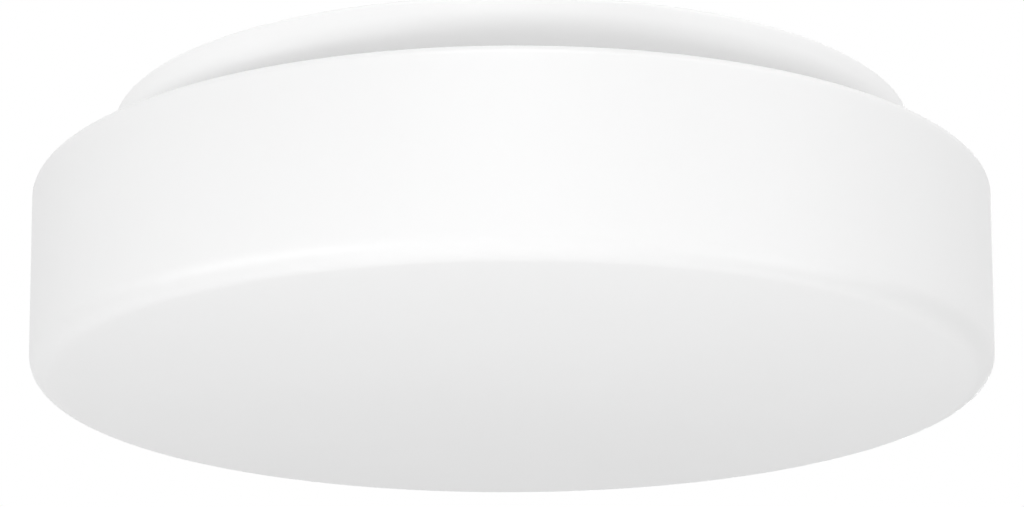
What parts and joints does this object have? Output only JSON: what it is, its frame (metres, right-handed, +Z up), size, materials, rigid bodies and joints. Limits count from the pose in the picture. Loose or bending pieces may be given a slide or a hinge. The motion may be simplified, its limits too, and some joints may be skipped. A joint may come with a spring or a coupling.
{
  "type": "flush mount ceiling light",
  "caption": "Flush mount ceiling light: a shallow opal glass drum snapped up under a white pressed steel pan, with plug-in lamps on a reflector tray inside.",
  "frame": {"origin": "middle of the pan's ceiling face, where the light lies on the ceiling", "axes": "+Z up into the ceiling; +Y along the first lamp; the cable entry is towards -Y; the fixing slots lie along X"},
  "size_m": [0.302, 0.302, 0.0843],
  "materials": {
    "pan_paint": "satin white powder coat",
    "opal_glass": "satin opal glass, nearly opaque white",
    "tray_paint": "semi-gloss white paint",
    "seal_silicone": "matte translucent silicone",
    "spring_steel": "bright spring steel",
    "rivet_metal": "satin",
    "zinc_steel": "zinc plated",
    "bracket_steel": "zinc plated sheet",
    "holder_ceramic": "steatite, dull glaze",
    "contact_metal": "tinned bronze",
    "lamp_base_plastic": "moulded white",
    "capsule_frost": "frosted",
    "pin_metal": "nickel plated wire",
    "block_plastic": "moulded polyamide",
    "barrel_brass": "nickel-free brass",
    "lead_brown": "silicone insulation",
    "lead_blue": "silicone insulation",
    "lead_earth": "green and yellow insulation",
    "grommet_rubber": "matte rubber"
  },
  "bodies": {
    "fitting": {"ceiling_pan": "pan_paint", "glass_seal": "seal_silicone", "clip_rivets": "rivet_metal", "tray_pillars": "zinc_steel", "reflector_tray": "tray_paint", "tray_screws": "zinc_steel", "bracket_rivets": "rivet_metal", "holder_screws": "zinc_steel", "holder_contacts": "contact_metal", "terminal_block": "block_plastic", "terminal_barrels": "barrel_brass", "terminal_screws": "zinc_steel", "terminal_fixing_screw": "zinc_steel", "earth_washer": "zinc_steel", "earth_tag": "contact_metal", "earth_screw": "zinc_steel", "live_leads": "lead_brown", "neutral_leads": "lead_blue", "earth_lead": "lead_earth", "cable_grommet": "grommet_rubber", "glass_clip_1": "spring_steel", "holder_bracket_1": "bracket_steel", "lampholder_1": "holder_ceramic", "glass_clip_2": "spring_steel", "holder_bracket_2": "bracket_steel", "lampholder_2": "holder_ceramic", "glass_clip_3": "spring_steel", "holder_bracket_3": "bracket_steel", "lampholder_3": "holder_ceramic"},
    "diffuser": {"opal_diffuser": "opal_glass"},
    "lamp_1": {"lamp_base_1": "lamp_base_plastic", "lamp_capsule_1": "capsule_frost", "lamp_pins_1": "pin_metal"},
    "lamp_2": {"lamp_base_2": "lamp_base_plastic", "lamp_capsule_2": "capsule_frost", "lamp_pins_2": "pin_metal"},
    "lamp_3": {"lamp_base_3": "lamp_base_plastic", "lamp_capsule_3": "capsule_frost", "lamp_pins_3": "pin_metal"}
  },
  "joints": [
    {"name": "diffuser_drop", "type": "slide", "parent": "fitting", "child": "diffuser", "axis": [0, 0, -1], "range_m": [0, 0.09], "deforming": ["glass_clip_1", "glass_clip_2", "glass_clip_3"]},
    {"name": "lamp_1_pull", "type": "slide", "parent": "fitting", "child": "lamp_1", "axis": [0, 1, 0], "range_m": [0, 0.0145]},
    {"name": "lamp_2_pull", "type": "slide", "parent": "fitting", "child": "lamp_2", "axis": [-0.866, -0.5, 0], "range_m": [0, 0.0145]},
    {"name": "lamp_3_pull", "type": "slide", "parent": "fitting", "child": "lamp_3", "axis": [0.866, -0.5, 0], "range_m": [0, 0.0145]}
  ]
}
